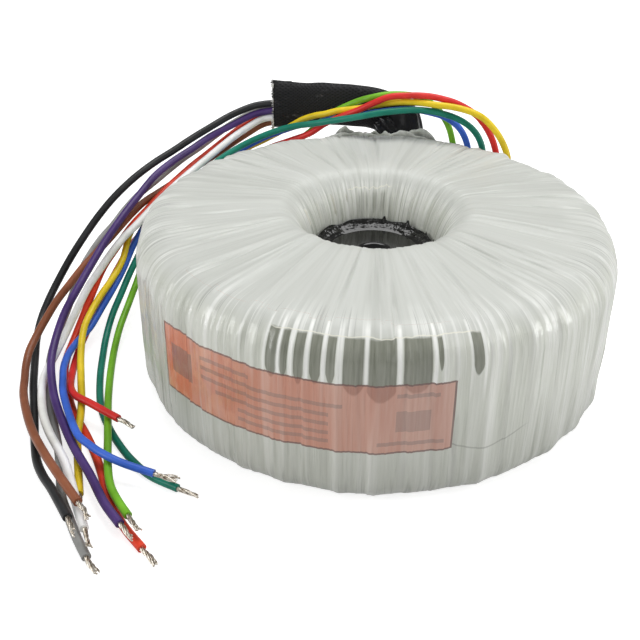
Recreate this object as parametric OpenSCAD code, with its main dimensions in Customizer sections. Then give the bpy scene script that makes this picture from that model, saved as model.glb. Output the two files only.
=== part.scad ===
// Toroidal mains transformer with a potted centre, a film-taped winding and eleven flying leads.
// Millimetres, +Z up. The origin is where the hole's axis meets the surface it stands on.

/* [Taped ring] */
// Outside diameter of the taped ring
ring_d = 160; // [150:1:175]
// Height of the taped ring
ring_h = 60; // [56:1:66]
// Diameter of the hole through the taped ring
hole_d = 41; // [36:1:46]
// Radius of the upper outer shoulder
shoulder_r = 12; // [9:0.5:14]
// Radius of the lower outer shoulder
foot_r = 8; // [5:0.5:11]
// Drop of the outer shoulder below the lip of the hole
shoulder_drop = 2; // [0:0.5:3]
// Width of the rolled lip of the hole
lip_w = 12; // [6:0.5:14]
// Depth of the rolled lip of the hole
lip_depth = 22; // [12:1:24]
// Number of film edges round the ring
pleats = 84; // [48:2:90]
// Height of one film edge on the outside wall
pleat_step = 0.5; // [0.2:0.05:0.7]
// Flats round the outside wall, one for each broad band of film
bands = 24; // [18:2:30]
// Hollow of one flat
band_sag = 0.4; // [0.1:0.05:0.5]
// Thickness of the outer film layers
outer_film_t = 1.5; // [1.4:0.1:1.8]

/* [Core and windings] */
// Outside diameter of the wound steel core
core_d = 136; // [130:1:138]
// Inside diameter of the wound steel core
core_bore = 78; // [76:1:82]
// Height of the wound steel core
core_h = 37; // [34:1:38]
// Share of the space over the core that its insulation takes
core_film_part = 0.08; // [0.05:0.01:0.09]
// Share of that space for one primary winding
primary_part = 0.16; // [0.12:0.01:0.17]
// Share of that space for one secondary winding
secondary_part = 0.16; // [0.12:0.01:0.17]
// Share of that space for each film next to the screen
barrier_part = 0.05; // [0.03:0.01:0.06]
// Share of that space for the copper screen
screen_part = 0.03; // [0.02:0.01:0.04]
// Angle left open between the ends of the screen
screen_gap = 8; // [4:1:20]

/* [Label] */
// Width of the label round the wall
label_w = 96; // [60:1:110]
// Height of the label
label_h = 23.5; // [15:0.5:25]
// Height of the lower edge of the label
label_z = 19.5; // [15:0.5:21]
// Direction of the middle of the label, from +X
label_angle = 250; // [240:1:300]
// Thickness of the label
label_t = 0.2; // [0.1:0.05:0.3]

/* [Potting] */
// Depth of the potting below the lip of the hole
potting_depth = 17; // [10:0.5:20]
// Height of the underside of the potting above the base
potting_foot = 1; // [0.5:0.5:4]
// Diameter of the hole for the fixing bolt
bolt_hole_d = 8.5; // [6.5:0.5:12]
// Height of the creep of the potting up the wall
meniscus_h = 1.2; // [0.5:0.1:2]

/* [Sleeve] */
// Width of the flat sleeve over the primary leads
sleeve_w = 19; // [19:0.5:20]
// Thickness of the flat sleeve
sleeve_t = 6.8; // [6.8:0.1:7.4]
// Wall of the sleeve
sleeve_wall = 0.45; // [0.3:0.05:0.45]
// Narrowing of the sleeve at its root
root_taper = 3; // [1:0.5:4]
// Wall of the shrunk wrap round the root of the sleeve
shrink_wall = 0.7; // [0.4:0.05:0.8]

/* [Leads] */
// Outside diameter of a primary lead
primary_lead_d = 2.8; // [2.2:0.1:2.8]
// Outside diameter of a secondary or screen lead
secondary_lead_d = 2.5; // [2:0.1:2.5]
// Diameter of the bare strands of a lead
strand_d = 1.5; // [1:0.1:1.8]
// Length of the bare strands of a lead
strand_l = 8; // [4:0.5:10]

/* [Hidden] */

// The leads' routes, from where each leaves the part to the end of its cover.
route_black = [
    [-30, 91, 63.4], [-38, 91, 63.4], [-43, 90.6, 63], [-48, 89.5, 62], [-55.5, 86, 59.7],
    [-63, 81, 56.7], [-70, 76, 53.8], [-77, 70, 50.8], [-84, 64, 48], [-91, 57, 44.5], [-97.5, 50, 40],
    [-102.5, 43.5, 35.5], [-107, 37, 30.5], [-112, 30, 24], [-116.5, 23, 17], [-119, 16, 12.5],
    [-120.5, 9, 8.5], [-120.5, 1, 5.2], [-119.5, -6, 3], [-118, -14, 1.8], [-116, -23, 1.5],
    [-113.5, -32, 1.5], [-110.5, -43, 1.5], [-107.5, -54, 1.5], [-104.5, -63, 2], [-100.5, -71, 3.1],
    [-95.5, -79, 4.5], [-88, -92, 6.1]
];
route_grey = [
    [-30, 93.5, 60.5], [-38, 93.5, 60.5], [-43, 93.6, 60.1], [-49, 93, 57.5], [-56, 90.5, 54.2],
    [-62, 86.7, 51], [-68, 81, 48], [-74, 75, 45.6], [-79, 69, 43.3], [-84, 62, 41], [-88.9, 55.4, 38.7],
    [-93.4, 47.2, 35.8], [-97, 39.5, 32.7], [-101.5, 33, 29], [-106, 25, 23.5], [-108.5, 18, 18],
    [-110.5, 9, 12.5], [-112.3, 0, 8.3], [-112.9, -10, 4.4], [-111.3, -20, 2], [-107.5, -34, 1.5],
    [-103.5, -45, 1.5], [-100, -55, 1.5], [-97, -65, 1.5], [-93.5, -78, 1.5], [-89.5, -86.5, 1.5],
    [-85.3, -95, 1.5], [-81, -102.5, 1.5]
];
route_orange = [
    [-30, 93.5, 57.6], [-38, 93.5, 57.6], [-43, 93.1, 56.8], [-49, 91.3, 54.6], [-55.2, 86.5, 51.5],
    [-64.9, 78.1, 46.1], [-69.8, 72.9, 43.7], [-74.5, 66.6, 41.3], [-79.9, 58.1, 38.6], [-85.4, 48.5, 35],
    [-90.6, 40.7, 31.4], [-95.3, 33.5, 26.3], [-99.5, 26, 21.5], [-102.5, 18, 15.5], [-105, 9.5, 9.8],
    [-107, 1, 5.2], [-108, -8, 2.7], [-106.7, -17, 1.5], [-103.5, -26, 1.5], [-99.5, -36.5, 1.5],
    [-92.5, -49, 1.5], [-87.5, -59, 1.5], [-83.5, -68.5, 1.5], [-79.5, -79.5, 1.5], [-73, -90.5, 1.5],
    [-66.5, -99, 1.5]
];
route_brown = [
    [-30, 92, 55.1], [-38, 92, 55.1], [-43, 91.7, 53.9], [-48, 90, 51.4], [-55.5, 86, 47.6],
    [-62, 81.5, 44.5], [-68.5, 76.5, 41.7], [-75, 70, 39], [-82, 60.5, 37.3], [-87.1, 52.9, 36.3],
    [-91.1, 45.3, 34.5], [-93.8, 39, 33], [-97.5, 32.5, 30.3], [-102, 26, 27], [-106, 20.5, 24],
    [-110, 14.5, 20.2], [-113.5, 9, 16.8], [-116.3, 3, 13.2], [-118.5, -3, 10], [-120, -9.5, 7.3],
    [-119.8, -16, 5.4], [-118.5, -23, 4.6], [-116.8, -31, 4.4], [-113, -41.5, 4.5], [-107.8, -53, 5.4],
    [-101, -65, 6.7], [-94.5, -75, 7.3], [-86, -87, 7.3]
];
route_violet = [
    [-30, 90.5, 60.5], [-38, 90.5, 60.5], [-43, 90.2, 59.8], [-48, 89, 58.5], [-55.5, 85, 55.7],
    [-63, 80, 53.2], [-70, 73.7, 50.2], [-77, 66, 47.8], [-83, 58, 45], [-88, 49, 41], [-93, 38, 36.8],
    [-98, 28, 31.5], [-102, 18, 26.5], [-105.5, 8, 21.8], [-108.5, 0, 17.3], [-110, -8, 13],
    [-110, -17, 10], [-108.5, -25, 8.2], [-105, -36, 6.3], [-99.5, -48, 5.2], [-93.5, -59.5, 4.6],
    [-86, -72, 4.4], [-79.5, -84, 4.4], [-73.5, -92.5, 4.4]
];
route_white = [
    [-30, 90.5, 57.6], [-38, 90.5, 57.6], [-43, 90, 56.8], [-48, 87.7, 54.6], [-55.5, 82, 51],
    [-66, 72.5, 45], [-74, 62, 41.2], [-80.5, 51, 38], [-87.3, 40.5, 33.5], [-92.5, 34, 30],
    [-96, 28, 27], [-100.5, 21, 22], [-104, 14.5, 17.8], [-108, 0.5, 11], [-110, -8.5, 7.8],
    [-111.5, -16, 5.8], [-112, -23, 4.8], [-110.7, -31, 4.4], [-107.5, -42, 4.4], [-103, -52, 4.4],
    [-96, -64, 4.4], [-91.5, -74, 4.4], [-87.1, -85, 4.4], [-83, -94.5, 4.4]
];
route_green_yellow = [
    [35.2, 73.7, 44], [35.2, 73.7, 49], [34.2, 73.6, 54], [32.5, 74, 59.5], [30, 74, 64], [26.8, 73.6, 68],
    [22, 73.2, 71.5], [16, 73, 73.2], [8, 73, 73.4], [0.5, 74.3, 71.5], [-4, 77, 69.2], [-8, 78.8, 66.8],
    [-12, 80.5, 64.2], [-17, 83.1, 59.8], [-24, 84, 53], [-31, 84.8, 48.5], [-40, 86, 43.7],
    [-50, 84, 38.3], [-60, 75.5, 33], [-69, 67, 28.8], [-76.5, 58, 25.8], [-82.5, 47, 22.5],
    [-86, 36, 18.7], [-88, 26, 14.3], [-90, 18.5, 9.8], [-91.5, 9, 6.5], [-91.7, 0, 4.8], [-91.2, -9, 4.2],
    [-89.8, -21.5, 4.2], [-88, -34, 4.2], [-86, -45, 4.2], [-84, -55.5, 4.2], [-82, -66, 4.2],
    [-79.5, -75.5, 4.2], [-76.3, -82, 4.2], [-71.6, -89.8, 5]
];
route_blue = [
    [40.7, 70.6, 44], [40.7, 70.6, 49], [39.5, 70.6, 54.5], [37, 70.8, 59.5], [33.5, 71, 63],
    [29, 70.4, 65.7], [24, 70, 67.3], [18, 69.8, 68.5], [12, 69.8, 68.4], [4, 71.5, 66.8],
    [-4, 74.7, 64.2], [-12, 78.2, 61.7], [-17, 80, 60], [-21, 80.4, 58.6], [-26, 80.6, 58],
    [-31, 80.9, 56.5], [-41, 82, 52.2], [-52, 80, 47], [-62, 74.5, 42.5], [-71, 67.5, 38.2],
    [-79, 59.5, 35], [-85, 49.5, 30.8], [-90, 40, 24.5], [-93, 30.5, 18.7], [-95.8, 21.5, 14.8],
    [-99, 14, 10.8], [-101.8, 6, 7.6], [-104.5, -1.5, 6.8], [-106, -10, 6.8], [-106, -18, 6.8],
    [-104.5, -26, 6.8], [-102.5, -34, 6.8], [-98, -45.5, 7], [-93, -56, 7.2], [-88.5, -61, 7.2],
    [-83, -65.5, 7], [-76, -69, 6.2], [-67, -72, 5.2]
];
route_green = [
    [46, 67.3, 44], [46, 67.4, 49], [45, 67.4, 54.5], [42.5, 67.4, 59.5], [38.5, 67.2, 63.5],
    [33, 67, 66.5], [26, 67, 68.5], [19, 67, 69.3], [12, 67, 69], [4, 67.5, 67.8], [-4, 69, 65.7],
    [-12, 72, 63.3], [-21, 75.5, 60.5], [-31, 78, 58], [-42, 79.3, 53.7], [-52, 76.7, 49.5],
    [-61, 71.5, 45], [-69, 65.3, 39.8], [-76.5, 57, 34.3], [-83, 47.5, 29], [-87, 38.5, 23],
    [-90.5, 31, 17.3], [-93, 23, 12.5], [-95.5, 15, 7.5], [-96.5, 6, 3.5], [-96, -4, 1.6],
    [-94.7, -15, 1.3], [-92.5, -27, 1.3], [-90, -36, 1.3], [-86, -45, 1.3], [-81.5, -53, 1.3],
    [-76, -61, 1.3], [-69, -68.5, 1.3], [-60, -74, 1.3]
];
route_red = [
    [51, 63.6, 44], [51, 63.6, 48.5], [50.2, 63.6, 53], [48.7, 63.6, 57.5], [46.7, 63.6, 61.5],
    [44.3, 63.9, 65], [41.5, 64.2, 68], [38, 65.5, 70.2], [33, 67, 72.3], [27, 68, 73.7],
    [21.5, 68.5, 74.4], [15, 69, 74.3], [8, 70, 73.4], [2.5, 70.5, 71], [-4, 72, 67.3], [-11, 74.5, 63.5],
    [-17, 77, 59.8], [-23, 79, 55], [-31, 81.5, 51], [-41, 84, 46.3], [-50, 83, 41.8], [-61, 77, 36.5],
    [-70.5, 69.5, 32], [-79, 61.5, 28.5], [-86.5, 51, 26.3], [-92, 41.5, 22.5], [-95.7, 32.5, 17.8],
    [-99, 25, 13], [-102, 16, 8], [-104, 7, 4.2], [-104.8, -2, 2.8], [-104.3, -12, 2.9], [-103, -22, 4],
    [-101, -30, 5.8], [-98, -35.5, 6.8], [-93, -39.3, 7], [-87.5, -43.5, 7], [-81.8, -47.8, 7]
];
route_yellow = [
    [55, 60.1, 44], [55, 60.1, 49], [53.8, 60, 54], [51.8, 60, 58.5], [49.2, 60.2, 62.5],
    [46.1, 60.7, 66], [42.5, 61.3, 68.8], [38, 62.6, 70.5], [32, 64.2, 71.5], [26, 65.9, 71.7],
    [20, 68, 71.8], [13, 70.2, 71.3], [6, 72.6, 69.8], [-4, 75, 67], [-12, 77, 65.2], [-17, 79, 63.2],
    [-21, 81.2, 61.7], [-26, 83.4, 59.2], [-31, 83.7, 56.2], [-41, 84.7, 50.4], [-51, 84, 45.5],
    [-61, 79, 40.5], [-71, 71.5, 36], [-79.5, 63, 33], [-87, 53, 32], [-91.3, 42, 28.5],
    [-93.2, 30.5, 22], [-96, 22, 18.5], [-99.5, 15.5, 14.8], [-102, 8, 11.8], [-102.8, 0, 9.8],
    [-101.7, -11, 7], [-99.3, -23, 4.8], [-96.8, -34, 4.2], [-95, -44, 4.5], [-94.3, -52, 3.3],
    [-92.7, -60, 1.6], [-90.5, -69, 1.3], [-88.5, -77, 1.3]
];
// The middle line of the flat sleeve, from its root to its mouth.
route_sleeve = [
    [14.5, 84.3, 44], [14.5, 84.3, 49], [14, 84.4, 54], [11.8, 84.6, 58.6], [7.5, 85, 62],
    [1, 85.8, 63.8], [-7, 87.3, 64.3], [-15, 89.4, 63.6], [-22, 91.3, 62.8], [-29, 92, 62.5],
    [-38, 92, 62.5]
];

// Radii and heights that follow from the sizes above.
ring_r = ring_d / 2;
hole_r = hole_d / 2;
core_r = core_d / 2;
core_base = (ring_h - core_h) / 2;
inner_foot_r = 5;
core_edge_r = 0.8;
label_gap = 0.1;
label_r = ring_r - outer_film_t - label_t - label_gap;
label_sweep = label_w / label_r * 180 / PI;
potting_top = ring_h - potting_depth;
potting_gap = 0.15;
meniscus_w = 3;
exit_z = route_sleeve[0].z;
tape_gap = 0.05;
pad_margin = 1.5;
pad_foot_t = 1;
pad_rim_h = 7;
lead_pad_h = 20;
root_pad_h = 28;
shrink_gap = 0.1;
shrink_rings = 8;
lead_sides = 8;
route_steps = 2;
fine = 96;

// How far out each layer reaches, as a share of the space over the core.
primary_a_share = core_film_part + primary_part;
primary_b_share = primary_a_share + primary_part;
primary_film_share = primary_b_share + barrier_part;
screen_share = primary_film_share + screen_part;
screen_film_share = screen_share + barrier_part;
secondary_a_share = screen_film_share + secondary_part;
secondary_b_share = secondary_a_share + secondary_part;

function mix(a, b, share) = a + (b - a) * share;
function unit(v) = v / norm(v);
function bearing(p) = atan2(p.y, p.x);
function reach(p) = norm([p.x, p.y]);
// Angle from the middle to the side of something that wide, seen from the hole's axis.
function half_angle(width, r) = atan(width / 2 / r);
function arc(centre, radii, from, to, steps) =
    [for (i = [0:steps])
        let (a = mix(from, to, i / steps))
        centre + [radii.x * cos(a), radii.y * sin(a)]];

// Outline of the half-section at a share of that space: 0 is the core, 1 the inside of the outer film.
function layer_outline(share) =
    let (
        outer = mix(core_r, ring_r - outer_film_t, share),
        inner = mix(core_bore / 2, hole_r + outer_film_t, share),
        top = mix(core_base + core_h, ring_h - outer_film_t, share),
        base = mix(core_base, outer_film_t, share),
        foot = mix(core_edge_r, foot_r - outer_film_t, share),
        shoulder = mix(core_edge_r, shoulder_r - outer_film_t, share),
        lip = [
            mix(core_edge_r, lip_w - outer_film_t, share),
            mix(core_edge_r, lip_depth - outer_film_t, share)
        ],
        inner_foot = mix(core_edge_r, inner_foot_r - outer_film_t, share),
        drop = shoulder_drop * share
    )
    concat(
        arc([outer - foot, base + foot], [foot, foot], -90, 0, 5),
        arc([outer - shoulder, top - drop - shoulder], [shoulder, shoulder], 0, 90, 6),
        arc([inner + lip.x, top - lip.y], lip, 90, 180, 6),
        arc([inner + inner_foot, base + inner_foot], [inner_foot, inner_foot], 180, 270, 4)
    );

// Points of the taped outline as [radius, height, normal, weight of the pleats, weight of the flats].
function outline_arc(centre, radii, from, to, steps, pleat_from, pleat_to, flat_from, flat_to) =
    [for (i = [0:steps])
        let (a = mix(from, to, i / steps))
        [
            centre.x + radii.x * cos(a),
            centre.y + radii.y * sin(a),
            unit([cos(a) / radii.x, sin(a) / radii.y]),
            mix(pleat_from, pleat_to, i / steps), mix(flat_from, flat_to, i / steps)
        ]];
taped_outline = concat(
    outline_arc([ring_r - foot_r, foot_r], [foot_r, foot_r], -90, 0, 3, 0, 1, 0, 1),
    outline_arc(
        [ring_r - shoulder_r, ring_h - shoulder_drop - shoulder_r], [shoulder_r, shoulder_r],
        0, 90, 5, 1, 0.9, 0.8, 0.3
    ),
    outline_arc([hole_r + lip_w, ring_h - lip_depth], [lip_w, lip_depth], 90, 180, 6, 1.5, 1.6, 0, 0),
    outline_arc([hole_r + inner_foot_r, inner_foot_r], [inner_foot_r, inner_foot_r], 180, 270, 2, 1.2, 0, 0, 0)
);

// Each pleat rises slowly to the edge of its film, then drops. Opposite pleats match.
function pleat_angle(i) = 360 / pleats * (i + 0.3 * sin(78 * (i % (pleats / 2))));
function pleat_drop(i) = pleat_step * (0.6 + 0.4 * sin(137 * (i % (pleats / 2))));
function band_drop(angle) =
    let (share = angle * bands / 360 - floor(angle * bands / 360))
    band_sag * 4 * share * (1 - share);
pleat_columns = [
    for (i = [0:pleats - 1])
        for (edge = [[pleat_angle(i), 0], [pleat_angle(i) + 60 / pleats, pleat_drop(i)]])
            edge
];
function taped_point(column, place) =
    let (
        sunk = column[1] * place[3] + band_drop(column[0]) * place[4],
        r = place[0] - place[2].x * sunk,
        z = place[1] - place[2].y * sunk
    )
    [r * cos(column[0]), r * sin(column[0]), z];

// A smooth line through all the points of a route.
function curve_point(a, b, c, d, t) =
    0.5 * (2 * b + (c - a) * t + (2 * a - 5 * b + 4 * c - d) * t * t + (3 * b - a - 3 * c + d) * t * t * t);
function smooth(route) =
    let (last = len(route) - 1)
    concat(
        [for (i = [0:last - 1])
            let (
                before = i == 0 ? 2 * route[0] - route[1] : route[i - 1],
                after = i == last - 1 ? 2 * route[last] - route[last - 1] : route[i + 2]
            )
            for (k = [0:route_steps - 1])
                curve_point(before, route[i], route[i + 1], after, k / route_steps)],
        [route[last]]
    );
function heading(path, i) = unit(path[min(i + 1, len(path) - 1)] - path[max(i - 1, 0)]);
function square_to(v, axis) = unit(v - (v * axis) * axis);
function side_vectors(path) =
    [for (
        i = 0, side = square_to([0.3, 0.2, 1], heading(path, 0));
        i < len(path);
        side = square_to(side, heading(path, min(i + 1, len(path) - 1))), i = i + 1
    ) side];
function round_rings(path, r, sides) =
    let (side = side_vectors(path))
    [for (i = [0:len(path) - 1])
        let (up = cross(heading(path, i), side[i]))
        [for (k = [0:sides - 1])
            path[i] + r * (cos(360 * k / sides) * side[i] + sin(360 * k / sides) * up)]];

// A ring of points round a flat section with round edges, across a line that runs along ahead.
function flat_ring(centre, ahead, w, t) =
    let (
        across = unit(cross([0, 1, 0], ahead)),
        through = cross(ahead, across),
        straight = (w - t) / 2
    )
    [for (side = [1, -1], k = [0:7])
        let (a = -90 + 180 * k / 7)
        centre + side * ((straight + t / 2 * cos(a)) * across + t / 2 * sin(a) * through)];
function sleeve_width(share) = sleeve_w - root_taper * (1 - share);
function sleeve_rings(path, count, grow) =
    [for (i = [0:count - 1])
        flat_ring(
            path[i], heading(path, i),
            sleeve_width(i / (len(path) - 1)) + 2 * grow, sleeve_t + 2 * grow
        )];

// Closes rings of points into one skin. A loop joins its last ring to its first; other skins get end faces.
module skin(rings, loop = false) {
    n = len(rings[0]);
    m = len(rings);
    sides = [
        for (i = [0:(loop ? m - 1 : m - 2)], j = [0:n - 1])
            let (
                a = i * n + j, b = i * n + (j + 1) % n,
                c = ((i + 1) % m) * n + (j + 1) % n, d = ((i + 1) % m) * n + j
            )
            for (face = [[a, c, b], [a, d, c]])
                face
    ];
    ends = loop ? [] : [[for (j = [0:n - 1]) j], [for (j = [n - 1:-1:0]) (m - 1) * n + j]];
    polyhedron(points = [for (ring = rings) for (p = ring) p], faces = concat(sides, ends));
}
module layer(inside, outside) {
    rotate_extrude($fn = fine)
        difference() {
            polygon(layer_outline(outside));
            polygon(layer_outline(inside));
        }
}
module lead(route, d) {
    skin(round_rings(smooth(route), d / 2, lead_sides));
}
module strands(route) {
    end = route[len(route) - 1];
    along = unit(end - route[len(route) - 2]);
    color([0.72, 0.7, 0.66])
        translate(end)
            rotate([0, acos(along.z), atan2(along.y, along.x)])
                cylinder(d = strand_d, h = strand_l, $fn = 24);
}
// A pad of tape on the outside wall, round what leaves it from one bearing to another.
module tape_pad(from, to, height, outside) {
    inside = ring_r + tape_gap;
    rotate([0, 0, from])
        rotate_extrude(angle = to - from, $fn = fine)
            polygon([
                [inside, exit_z - height], [inside + pad_foot_t, exit_z - height],
                [outside, exit_z - pad_rim_h], [outside, exit_z], [inside, exit_z]
            ]);
}

// The ring of silicon-steel strip that carries the flux.
module core_strip() {
    color([0.45, 0.46, 0.48])
        translate([0, 0, core_base])
            difference() {
                cylinder(d = core_d, h = core_h, $fn = fine);
                translate([0, 0, -1])
                    cylinder(d = core_bore, h = core_h + 2, $fn = fine);
            }
}
module core_insulation() {
    color([0.88, 0.85, 0.7])
        rotate_extrude($fn = fine)
            difference() {
                polygon(layer_outline(core_film_part));
                translate([core_bore / 2, core_base])
                    square([core_r - core_bore / 2, core_h]);
            }
}
module primary_winding_a() {
    color([0.72, 0.38, 0.2])
        layer(core_film_part, primary_a_share);
}
module primary_winding_b() {
    color([0.76, 0.42, 0.22])
        layer(primary_a_share, primary_b_share);
}
module primary_insulation() {
    color([0.85, 0.83, 0.6])
        layer(primary_b_share, primary_film_share);
}
// The copper screen stops short of a full turn, so that no current runs round it.
module screen_foil() {
    color([0.8, 0.5, 0.3])
        difference() {
            layer(primary_film_share, screen_share);
            rotate([0, 0, -screen_gap / 2])
                rotate_extrude(angle = screen_gap, $fn = fine)
                    square([ring_r, ring_h]);
        }
}
module screen_insulation() {
    color([0.85, 0.83, 0.6])
        layer(screen_share, screen_film_share);
}
module secondary_winding_a() {
    color([0.72, 0.38, 0.2])
        layer(screen_film_share, secondary_a_share);
}
module secondary_winding_b() {
    color([0.76, 0.42, 0.22])
        layer(secondary_a_share, secondary_b_share);
}
module label_band(inside, outside) {
    translate([0, 0, label_z])
        rotate([0, 0, label_angle - label_sweep / 2])
            rotate_extrude(angle = label_sweep, $fn = fine)
                translate([inside, 0])
                    square([outside - inside, label_h]);
}
// The film under the label, sunk by the label's thickness where it lies.
module inner_wrap() {
    color([0.87, 0.88, 0.84])
        difference() {
            layer(secondary_b_share, 1);
            label_band(label_r - label_gap, ring_r);
        }
}
module label() {
    color([0.87, 0.47, 0.35])
        label_band(label_r, label_r + label_t);
}
// The film that shows: pleated tape outside, smooth inside.
module outer_wrap() {
    color([0.84, 0.85, 0.8])
        difference() {
            skin(
                [for (column = pleat_columns) [for (place = taped_outline) taped_point(column, place)]],
                loop = true
            );
            rotate_extrude($fn = fine)
                polygon(layer_outline(1));
        }
}
// Epoxy in the hole, with a bore for the bolt and a rim that creeps up the wall.
module centre_potting() {
    rim = hole_r - potting_gap;
    color([0.07, 0.07, 0.08])
        rotate_extrude($fn = fine)
            polygon(concat(
                [[bolt_hole_d / 2, potting_foot], [rim, potting_foot]],
                arc([rim - meniscus_w, potting_top + meniscus_h], [meniscus_w, meniscus_h], 0, -90, 5),
                [[bolt_hole_d / 2, potting_top]]
            ));
}
// Two pads of tape on the back of the wall, where the leads come out.
module exit_tape() {
    root = route_sleeve[0];
    root_side = half_angle(sleeve_w - root_taper + 2 * pad_margin, reach(root));
    first = route_yellow[0];
    last = route_green_yellow[0];
    lead_side = half_angle(secondary_lead_d + 5 * pad_margin, reach(last));
    color([0.8, 0.81, 0.77]) {
        tape_pad(
            bearing(first) - lead_side, bearing(last) + lead_side, lead_pad_h,
            max(reach(last), ring_r) + secondary_lead_d / 2 + pad_margin / 2
        );
        tape_pad(
            bearing(root) - root_side, bearing(root) + root_side, root_pad_h,
            max(reach(root), ring_r) + sleeve_t / 2 + pad_margin
        );
    }
}
// Shrunk black wrap round the root of the sleeve.
module exit_shrink() {
    path = smooth(route_sleeve);
    inside = sleeve_rings(path, shrink_rings, shrink_gap);
    color([0.06, 0.06, 0.06])
        skin(
            concat(
                sleeve_rings(path, shrink_rings, shrink_gap + shrink_wall),
                [for (i = [shrink_rings - 1:-1:0]) inside[i]]
            ),
            loop = true
        );
}
// Woven glass sleeve, solid but for its open mouth, where the six primary leads come out.
module primary_sleeve() {
    path = smooth(route_sleeve);
    mouth = path[len(path) - 1];
    ahead = heading(path, len(path) - 1);
    bottom = [route_black[0].x, mouth.y, mouth.z];
    inner_w = sleeve_w - 2 * sleeve_wall;
    inner_t = sleeve_t - 2 * sleeve_wall;
    color([0.1, 0.1, 0.1])
        skin(concat(
            sleeve_rings(path, len(path), 0),
            [flat_ring(mouth, ahead, inner_w, inner_t), flat_ring(bottom, ahead, inner_w, inner_t)]
        ));
}
module lead_black() {
    color([0.07, 0.07, 0.08]) lead(route_black, primary_lead_d);
}
module lead_grey() {
    color([0.52, 0.53, 0.54]) lead(route_grey, primary_lead_d);
}
module lead_orange() {
    color([0.85, 0.25, 0.12]) lead(route_orange, primary_lead_d);
}
module lead_brown() {
    color([0.5, 0.27, 0.16]) lead(route_brown, primary_lead_d);
}
module lead_violet() {
    color([0.25, 0.16, 0.42]) lead(route_violet, primary_lead_d);
}
module lead_white() {
    color([0.86, 0.86, 0.83]) lead(route_white, primary_lead_d);
}
module lead_green_yellow() {
    color([0.35, 0.68, 0.16]) lead(route_green_yellow, secondary_lead_d);
}
module lead_blue() {
    color([0.2, 0.4, 0.82]) lead(route_blue, secondary_lead_d);
}
module lead_green() {
    color([0.03, 0.45, 0.36]) lead(route_green, secondary_lead_d);
}
module lead_red() {
    color([0.82, 0.14, 0.13]) lead(route_red, secondary_lead_d);
}
module lead_yellow() {
    color([0.92, 0.78, 0.12]) lead(route_yellow, secondary_lead_d);
}
module strands_black() { strands(route_black); }
module strands_grey() { strands(route_grey); }
module strands_orange() { strands(route_orange); }
module strands_brown() { strands(route_brown); }
module strands_violet() { strands(route_violet); }
module strands_white() { strands(route_white); }
module strands_green_yellow() { strands(route_green_yellow); }
module strands_blue() { strands(route_blue); }
module strands_green() { strands(route_green); }
module strands_red() { strands(route_red); }
module strands_yellow() { strands(route_yellow); }

core_strip();
core_insulation();
primary_winding_a();
primary_winding_b();
primary_insulation();
screen_foil();
screen_insulation();
secondary_winding_a();
secondary_winding_b();
inner_wrap();
label();
outer_wrap();
centre_potting();
exit_tape();
exit_shrink();
primary_sleeve();
lead_black();
lead_grey();
lead_orange();
lead_brown();
lead_violet();
lead_white();
lead_green_yellow();
lead_blue();
lead_green();
lead_red();
lead_yellow();
strands_black();
strands_grey();
strands_orange();
strands_brown();
strands_violet();
strands_white();
strands_green_yellow();
strands_blue();
strands_green();
strands_red();
strands_yellow();
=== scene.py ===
"""A toroidal mains transformer: film-taped ring, potted hole, woven sleeve and eleven flying leads."""

import math

import bmesh
import bpy
import numpy as np
from mathutils import Matrix, Vector


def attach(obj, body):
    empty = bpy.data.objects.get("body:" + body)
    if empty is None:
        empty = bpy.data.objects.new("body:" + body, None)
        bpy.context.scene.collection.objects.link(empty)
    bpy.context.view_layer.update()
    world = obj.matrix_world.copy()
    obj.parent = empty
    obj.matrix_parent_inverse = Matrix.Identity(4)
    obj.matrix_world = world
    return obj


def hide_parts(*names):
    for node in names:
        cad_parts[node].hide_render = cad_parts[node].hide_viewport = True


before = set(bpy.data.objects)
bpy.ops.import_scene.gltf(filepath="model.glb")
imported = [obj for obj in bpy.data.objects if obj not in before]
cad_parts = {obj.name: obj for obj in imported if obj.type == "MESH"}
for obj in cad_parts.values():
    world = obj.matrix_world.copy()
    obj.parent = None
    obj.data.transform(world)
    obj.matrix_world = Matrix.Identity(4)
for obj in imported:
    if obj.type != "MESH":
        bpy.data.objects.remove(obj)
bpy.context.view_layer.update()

MM = 0.001
TURN = 2 * math.pi

# The ring, as in the part's source, in millimetres.
RING_R = 80
RING_H = 60
HOLE_R = 20.5
SHOULDER_R = 12
SHOULDER_DROP = 2
FOOT_R = 8
LIP_W = 12
LIP_DEPTH = 22
INNER_FOOT_R = 5
POTTING_TOP = 43
POTTING_FOOT = 1
BOLT_R = 4.25
EXIT_Z = 44
LABEL_ANGLE = math.radians(250)

# Where a painted reflection of the room's dark lies on the film: middle, half width and lowest tip, from the
# label's middle.
PAINTED_REFLECTION_BANDS = (
    (-4.7, 1.8, 41), (-1.2, 1.1, 42), (3.3, 1.5, 40.5), (8, 1.7, 41.5), (12.4, 1.4, 42), (18.8, 3.1, 39),
    (26.5, 4.2, 37), (36.5, 4.2, 39.5), (42.8, 0.8, 46.5), (53.8, 1.5, 43.5),
)

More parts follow.
